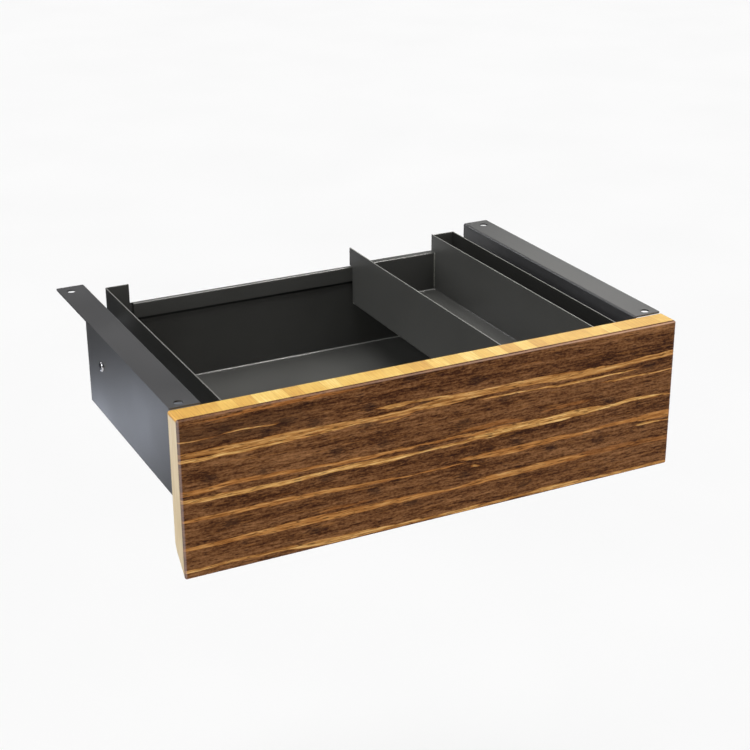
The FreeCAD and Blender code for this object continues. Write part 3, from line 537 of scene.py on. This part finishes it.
def strip_bamboo():
    """Light bamboo core: upright strips of uneven width and shade, with fine upright fibres."""
    shader = Shader("strip_bamboo")
    place = shader.math("MULTIPLY_ADD", shader.x, STRIPS_PER_METRE, STRIP_START)
    strips = shader.cells(place, "1D", "F1", STRIP_UNEVENNESS)
    joints = shader.cells(place, "1D", "DISTANCE_TO_EDGE", STRIP_UNEVENNESS)
    fibre = shader.noise((750, 45, 26), detail=3.0, rough=0.6, warp=0.2)
    cloud = shader.noise((60, 90, 18), shift=(3, 3, 3), detail=2.0)
    colour = shader.ramp(
        shader.weigh((fibre, 0.42), (shader.red(strips["Color"]), 0.27), (cloud, 0.2)),
        (0.28, (196, 146, 66)),
        (0.40, (212, 167, 78)),
        (0.53, (223, 186, 98)),
        (0.68, (240, 214, 142)),
    )
    ends = pale_ends(shader)
    end_grain = shader.noise((40, 900, 30), shift=(4, 2, 6), detail=3.0, rough=0.6)
    # The sawn ends get their own grain, and their paler cream tone is painted light.
    colour = shader.mix(ends, colour, shader.ramp(end_grain, (0.3, (202, 178, 136)), (0.6, (221, 202, 168))))
    seam = shader.between(joints["Distance"], 0.0, 0.032, 0.5, 0.0)
    seam = shader.product(seam, shader.math("SUBTRACT", 1.0, ends))
    colour = shader.mix(seam, colour, linear((176, 122, 58)))
    pores = shader.noise((2600, 2600, 60), shift=(5, 1, 2), detail=1.0)
    colour = shader.mix(shader.between(pores, 0.66, 0.78, 0.0, 0.4), colour, linear((188, 136, 72)))
    grain = shader.bump(fibre, 0.04 * MM, 0.5)
    return shader.finish(Base_Color=colour, Roughness=0.42, Normal=grain, Specular_IOR_Level=0.45)


# ---- bare metal and mouldings ----------------------------------------------------------------------


def plated_steel(name, shade, rough, drawn=(400, 12, 400)):
    """Plated steel with faint drawn lines and a cloudy plate; drawn is the lines' cycles per metre."""
    shader = Shader(name)
    lines = shader.noise((drawn[0] * 4, drawn[1], drawn[2] * 4), detail=2.0)
    cloud = shader.noise((30, 18, 30), shift=(2, 4, 1), detail=3.0)
    darker = tuple(value * 0.86 for value in shade)
    return shader.finish(
        Base_Color=shader.ramp(cloud, (0.3, darker), (0.7, shade)),
        Metallic=1.0,
        Roughness=shader.between(lines, 0.3, 0.7, rough - 0.06, rough + 0.08),
        Normal=shader.bump(lines, 0.01 * MM, 0.4),
    )


def screw_steel():
    """Bright plated screws with faint turning marks."""
    shader = Shader("screw_steel")
    marks = shader.noise((1600, 1600, 1600), detail=2.0)
    return shader.finish(
        Base_Color=shader.ramp(marks, (0.3, (172, 172, 175)), (0.7, (204, 204, 206))),
        Metallic=1.0,
        Roughness=shader.between(marks, 0.3, 0.7, 0.15, 0.23),
        Normal=shader.bump(marks, 0.01 * MM, 0.3),
    )


def black_moulding(name, rough):
    """Black moulded plastic or rubber with a fine spark texture."""
    shader = Shader(name)
    grain = shader.noise((1400, 1400, 1400), detail=3.0)
    return shader.finish(
        Base_Color=shader.ramp(grain, (0.3, (26, 26, 27)), (0.7, (36, 36, 37))),
        Roughness=shader.between(grain, 0.3, 0.7, rough - 0.05, rough + 0.05),
        Normal=shader.bump(grain, 0.03 * MM, 0.5),
    )


# ---- a finish for every CAD node -------------------------------------------------------------------

tray_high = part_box("pencil_tray")[1]
tray_bend = ("pencil_tray", tray_high[1] - TRAY_HOOK)
pan_bend = ("drawer_pan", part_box("drawer_pan")[1][1])
side_coat = powder_coat("powder_coat", cut_edge=tray_high[2])
tray_coat = powder_coat("tray_powder_coat", cut_edge=tray_high[2], bend=tray_bend)
pan_coat = powder_coat("pan_powder_coat", shade_under_hem=True, bend=pan_bend)
bracket_coat = powder_coat("bracket_powder_coat", grey=64, warmth=-1)
zinc = plated_steel("zinc_plate", (172, 174, 178), 0.42)
cage_steel = plated_steel("cage_strip", (150, 150, 151), 0.38)
ball_steel = plated_steel("ball_steel", (205, 205, 207), 0.12, (60, 60, 60))
screw_plate = screw_steel()

FINISHES = {
    "front_face": strand_bamboo(),
    "front_core": strip_bamboo(),
    "drawer_pan": pan_coat,
    "drawer_side": side_coat,
    "pencil_tray": tray_coat,
    "bracket_left": bracket_coat,
    "bracket_right": bracket_coat,
    "slide_outer": zinc,
    "slide_middle": zinc,
    "slide_inner": zinc,
    "outer_cage": cage_steel,
    "inner_cage": cage_steel,
    "outer_balls": ball_steel,
    "inner_balls": ball_steel,
    "lever_rivets": zinc,
    "bracket_screws": screw_plate,
    "slide_screws": screw_plate,
    "front_screws": screw_plate,
    "end_bumpers": black_moulding("black_rubber", 0.7),
    "release_lever": black_moulding("black_plastic", 0.5),
}


def finish_for(node):
    """The finish of a CAD node: the longest key that its name starts with."""
    keys = [key for key in FINISHES if node.startswith(key)]
    return FINISHES[max(keys, key=len)]


for name, piece in frame["nodes"].items():
    finish = finish_for(name)
    if piece.material_slots:
        for slot in piece.material_slots:
            slot.material = finish
    else:
        piece.data.materials.append(finish)


# ---- tray corner seam ------------------------------------------------------------------------------

BEAD_RADIUS = 0.75 * MM
BEAD_START, BEAD_END = 1.2 * MM, 0.9 * MM  # above the tray's floor, and above the box's top
BEAD_STEPS, BEAD_LEVELS = 8, 40
BEAD_RIPPLE, BEAD_TURN = 0.08, 2.6  # share of the radius, and radians from level to level
BEAD_BULGE = 0.35  # how far the middle of a level stands out, as a share of the radius
BEAD_TIP = 0.45  # the radius at each end, as a share of the full one


def bead_ring(corner, height, size):
    """One level of the bead: a bulging quarter turn that faces out of the corner, and a point inside."""
    ring = []
    for step in range(BEAD_STEPS + 1):
        angle = math.radians(180.0 + 90.0 * step / BEAD_STEPS)
        reach = size * (1.0 + BEAD_BULGE * math.sin(math.pi * step / BEAD_STEPS))
        ring.append((corner.x + reach * math.cos(angle), corner.y + reach * math.sin(angle), height))
    ring.append((corner.x + 0.1 * MM, corner.y + 0.1 * MM, height))
    return ring


def tray_corner_seam():
    """The rippled weld bead up the tray's rear right corner."""
    low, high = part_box("pencil_tray")
    corner = Vector((high[0] - SHEET, high[1] - TRAY_HOOK - SHEET))
    bottom = low[2] + SHEET + BEAD_START
    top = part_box("drawer_pan")[1][2] + BEAD_END
    verts, faces = [], []
    for level in range(BEAD_LEVELS + 1):
        share = level / BEAD_LEVELS
        from_tip = min(1.0, min(share, 1.0 - share) * BEAD_LEVELS / 2.0)
        ripple = 1.0 + BEAD_RIPPLE * math.sin(BEAD_TURN * level)
        size = BEAD_RADIUS * (BEAD_TIP + (1.0 - BEAD_TIP) * from_tip) * ripple
        verts += bead_ring(corner, bottom + share * (top - bottom), size)
    ring = BEAD_STEPS + 2
    for level in range(BEAD_LEVELS):
        for step in range(ring):
            first = level * ring + step
            after = level * ring + (step + 1) % ring
            faces.append((first, after, after + ring, first + ring))
    faces.append(tuple(reversed(range(ring))))
    faces.append(tuple(BEAD_LEVELS * ring + step for step in range(ring)))
    mesh = bpy.data.meshes.new("tray_corner_seam")
    mesh.from_pydata(verts, [], faces)
    mesh.materials.append(bead_coat())
    for polygon in mesh.polygons:
        polygon.use_smooth = len(polygon.vertices) == 4
    seam = bpy.data.objects.new("tray_corner_seam", mesh)
    bpy.context.scene.collection.objects.link(seam)
    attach(seam, "tray")


tray_corner_seam()


# ---- floor and backdrop ----------------------------------------------------------------------------

FLOOR_DROP, FLOOR_HALF = 0.60, 14.0
BACKDROP_RADIUS, BACKDROP_SIDES = 13.0, 48
BACKDROP_BOTTOM, BACKDROP_TOP = -6.0, 12.0
DARK_STUDIO, PALE_STUDIO = (0.3, (249, 249, 249)), (0.7, (251, 251, 251))
BLACK = (0.0, 0.0, 0.0, 1.0)  # linear


def stage_mesh(name, corners, faces, material):
    """A piece of the studio, which isn't part of the object."""
    mesh = bpy.data.meshes.new(name)
    mesh.from_pydata(corners, [], faces)
    mesh.materials.append(material)
    piece = bpy.data.objects.new(name, mesh)
    bpy.context.scene.collection.objects.link(piece)
    piece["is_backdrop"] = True
    return piece


def stage_panel(name, corners, material):
    """A flat four-cornered piece of the studio."""
    return stage_mesh(name, corners, [(0, 1, 2, 3)], material)


def floor():
    """A wide pale floor, well below the drawer as it is under a desk."""
    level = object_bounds()[0][2] - FLOOR_DROP
    shader = Shader("floor_paint")
    cloud = shader.noise((3, 3, 3), detail=2.0)
    colour = shader.ramp(cloud, DARK_STUDIO, PALE_STUDIO)
    paint = shader.finish(Base_Color=colour, Roughness=0.9, Specular_IOR_Level=0.0)
    turns = ((-1, -1), (1, -1), (1, 1), (-1, 1))
    corners = [(FLOOR_HALF * x, FLOOR_HALF * y, level) for x, y in turns]
    return stage_panel("floor", corners, paint)


def backdrop():
    """A wide pale drum round the studio that only the camera sees."""
    shader = Shader("backdrop")
    paint = shader.finish(
        Base_Color=BLACK,
        Emission_Color=shader.ramp(shader.noise((0.3, 0.3, 0.3)), DARK_STUDIO, PALE_STUDIO),
        Emission_Strength=1.0,
        Specular_IOR_Level=0.0,
    )
    sides = BACKDROP_SIDES
    corners = []
    for height in (BACKDROP_BOTTOM, BACKDROP_TOP):
        for side in range(sides):
            turn = 2 * math.pi * side / sides
            corners.append((BACKDROP_RADIUS * math.cos(turn), BACKDROP_RADIUS * math.sin(turn), height))
    faces = [(k, (k + 1) % sides, (k + 1) % sides + sides, k + sides) for k in range(sides)]
    faces += [tuple(range(sides)), tuple(reversed(range(sides, 2 * sides)))]
    wall = stage_mesh("backdrop", corners, faces, paint)
    wall.visible_diffuse = wall.visible_glossy = wall.visible_shadow = False


# ---- lights ----------------------------------------------------------------------------------------

SPOT_ASIDE, SPOT_ABOVE, SPOT_BELOW = 0.8, 1.6, 0.75  # how fast a spot fades to each side


def spot_glow(shader, bright, x, z, reach):
    """A glow that is brightest at x, z and fades to nothing at about the reach."""
    aside = shader.product(shader.math("SUBTRACT", shader.x, x), SPOT_ASIDE)
    level = shader.math("SUBTRACT", shader.z, z)
    below = shader.product(shader.math("MINIMUM", level, 0.0), SPOT_BELOW)
    upright = shader.math("MULTIPLY_ADD", shader.math("MAXIMUM", level, 0.0), SPOT_ABOVE, below)
    squares = shader.math("ADD", shader.math("POWER", aside, 2.0), shader.product(upright, upright))
    return shader.between(shader.math("SQRT", squares), 0.0, reach, bright, 0.0)


def glow_card(name, corners, bright, tint=(1.0, 1.0, 1.0), spot=None):
    """A card seen only in reflections; spot is the x and z of its glow's middle, and the glow's reach."""
    shader = Shader(name)
    material = shader.finish(
        Base_Color=BLACK,
        Emission_Color=(*tint, 1.0),
        Emission_Strength=spot_glow(shader, bright, *spot) if spot else bright,
    )
    card = stage_panel(name, corners, material)
    card.visible_camera = card.visible_diffuse = card.visible_shadow = False


def soft_box(name, place, target, size, glow, spared, colour=(1.0, 1.0, 1.0), in_reflections=True):
    """A rectangular soft light that faces a point and passes by the spared things."""
    lamp = bpy.data.lights.new(name, "AREA")
    lamp.shape = "RECTANGLE"
    lamp.size, lamp.size_y = size
    lamp.energy = glow * 4 * size[0] * size[1]
    lamp.color = colour
    light = bpy.data.objects.new(name, lamp)
    light.location = place
    facing = Vector(target) - Vector(place)
    light.rotation_euler = facing.to_track_quat("-Z", "Y").to_euler()
    light.visible_camera = False
    light.visible_glossy = in_reflections
    light.light_linking.receiver_collection = spared
    bpy.context.scene.collection.objects.link(light)


def daylight(strength, spread):
    """Even light from straight above that keeps the floor one shade."""
    lamp = bpy.data.lights.new("daylight", "SUN")
    lamp.energy = strength
    lamp.angle = math.radians(spread)
    light = bpy.data.objects.new("daylight", lamp)
    bpy.context.scene.collection.objects.link(light)


def world(strength):
    """Even white surroundings."""
    sky = bpy.data.worlds.new("studio")
    sky.use_nodes = True
    background = sky.node_tree.nodes["Background"]
    background.inputs["Color"].default_value = (1.0, 1.0, 1.0, 1.0)
    background.inputs["Strength"].default_value = strength
    bpy.context.scene.world = sky


def unlit(name, *objects):
    """A collection of things that a light linked to it passes by."""
    spared = bpy.data.collections.new(name)
    for index, piece in enumerate(objects):
        spared.objects.link(piece)
        spared.collection_objects[index].light_linking.link_state = "EXCLUDE"
    return spared


def lights(ground):
    """Soft light from the left, the front and behind, and cards that shape the coat's reflections."""
    off_floor = unlit("off_floor", ground)
    sides = [frame["nodes"][name] for name in ("drawer_side_left", "drawer_side_right")]
    off_side = unlit("off_side", ground, *sides)
    world(0.16)
    daylight(2.65, 56)
    soft_box(
        "behind_right",
        place=(0.66, 0.70, 0.43),
        target=(0.18, -0.05, 0.0),
        size=(0.30, 0.26),
        glow=1.6,
        spared=off_floor,
        colour=(1.0, 1.0, 0.93),
    )
    soft_box(
        "left",
        place=(-1.40, -0.15, 0.80),
        target=(-0.05, 0.0, -0.05),
        size=(0.9, 0.9),
        glow=4.1,
        spared=off_side,
        colour=(0.97, 0.985, 1.0),
    )
    soft_box(
        "front_low",
        place=(0.35, -1.9, -0.05),
        target=(0.0, -0.1, -0.07),
        size=(1.6, 0.8),
        glow=4.0,
        spared=off_floor,
        in_reflections=False,
    )
    glow_card(
        "low_left",
        corners=[(-1.2, 0.78, -0.75), (-0.12, 0.78, -0.75), (-0.12, 0.78, 0.25), (-1.2, 0.78, 0.25)],
        bright=5.0,
        tint=(0.80, 0.86, 1.0),
        spot=(-0.34, -0.42, 0.115),
    )
    glow_card(
        "overhead",
        corners=[(0.25, -0.4, 1.0), (0.75, -0.4, 1.0), (0.75, 0.3, 1.0), (0.25, 0.3, 1.0)],
        bright=24.0,
        tint=(1.0, 0.96, 0.93),
    )
    glow_card(
        "behind_left",
        corners=[(-0.85, 1.05, 0.52), (-0.35, 1.25, 0.52), (-0.35, 1.20, 0.76), (-0.85, 1.00, 0.76)],
        bright=9.0,
    )


# ---- camera ----------------------------------------------------------------------------------------

CAMERA_PLACE = (-0.48963, -1.01858, 0.41719)
CAMERA_TURN, CAMERA_DIP, CAMERA_LEAN = 26.507, 22.920, -0.290  # degrees
SENSOR_WIDTH, FOCAL_LENGTH = 36.0, 76.89  # mm


def camera():
    """The photograph's view: from the front left, a little above."""
    turn, dip, lean = (math.radians(angle) for angle in (CAMERA_TURN, CAMERA_DIP, CAMERA_LEAN))
    ahead = Vector((math.sin(turn) * math.cos(dip), math.cos(turn) * math.cos(dip), -math.sin(dip)))
    level = Vector((math.cos(turn), -math.sin(turn), 0.0))
    upright = level.cross(ahead)
    right = level * math.cos(lean) + upright * math.sin(lean)
    up = upright * math.cos(lean) - level * math.sin(lean)
    data = bpy.data.cameras.new("camera")
    data.sensor_width = SENSOR_WIDTH
    data.lens = FOCAL_LENGTH
    data.clip_start = 0.01
    data.clip_end = 100.0
    view = bpy.data.objects.new("camera", data)
    axes = Matrix((right, up, -ahead)).transposed()
    view.matrix_world = Matrix.Translation(CAMERA_PLACE) @ axes.to_4x4()
    bpy.context.scene.collection.objects.link(view)
    bpy.context.scene.camera = view


lights(floor())
backdrop()
camera()
bpy.context.scene.view_settings.view_transform = "Standard"
